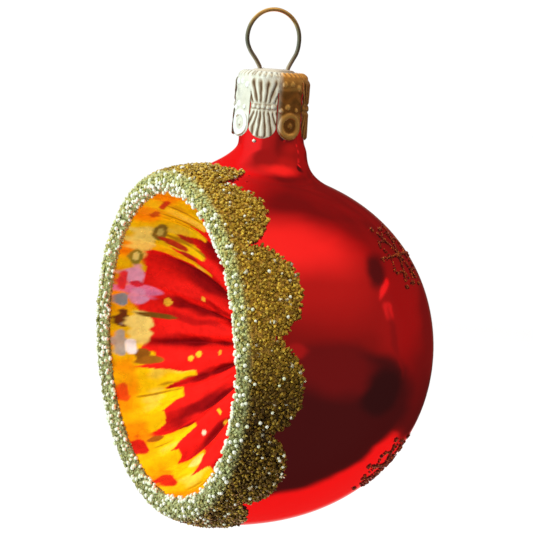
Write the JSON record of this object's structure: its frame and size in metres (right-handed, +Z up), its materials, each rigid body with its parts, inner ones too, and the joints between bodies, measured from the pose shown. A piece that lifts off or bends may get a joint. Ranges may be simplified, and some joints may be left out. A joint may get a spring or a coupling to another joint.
{
  "type": "christmas bauble",
  "caption": "Silvered glass bauble with a fluted reflector pressed into its front, a scalloped glitter border, glitter stars, a crown cap and a sprung wire hanger.",
  "frame": {"origin": "centre of the hanger's wire loop, where the hook passes", "axes": "+Z up the neck, -Y out of the reflector, +X along the loop's through direction"},
  "size_m": [0.061, 0.0466, 0.0872],
  "materials": {
    "silvered_glass": "silvered inside, clear red lacquer outside, high gloss",
    "border_glitter": "silver and gold glitter grains in glue",
    "star_glitter": "brown-gold glitter grains in glue",
    "stamped_cap": "stamped thin sheet, pale gold, polished",
    "spring_wire": "bright drawn spring wire"
  },
  "bodies": {
    "hanger": {"wire_hanger": "spring_wire"},
    "cap": {"crown_cap": "stamped_cap"},
    "bauble": {"glass_bauble": "silvered_glass", "glitter_border": "border_glitter", "glitter_star_1": "star_glitter", "glitter_star_2": "star_glitter", "glitter_star_3": "star_glitter", "glitter_star_4": "star_glitter"}
  },
  "joints": [
    {"name": "cap_rock", "type": "hinge", "parent": "hanger", "child": "cap", "pos_m": [0, 0, -0.00515], "axis": [0, 1, 0], "range_deg": [-5, 5]},
    {"name": "cap_pull_off", "type": "slide", "parent": "cap", "child": "bauble", "axis": [0, 0, -1], "range_m": [0, 0.02]}
  ]
}
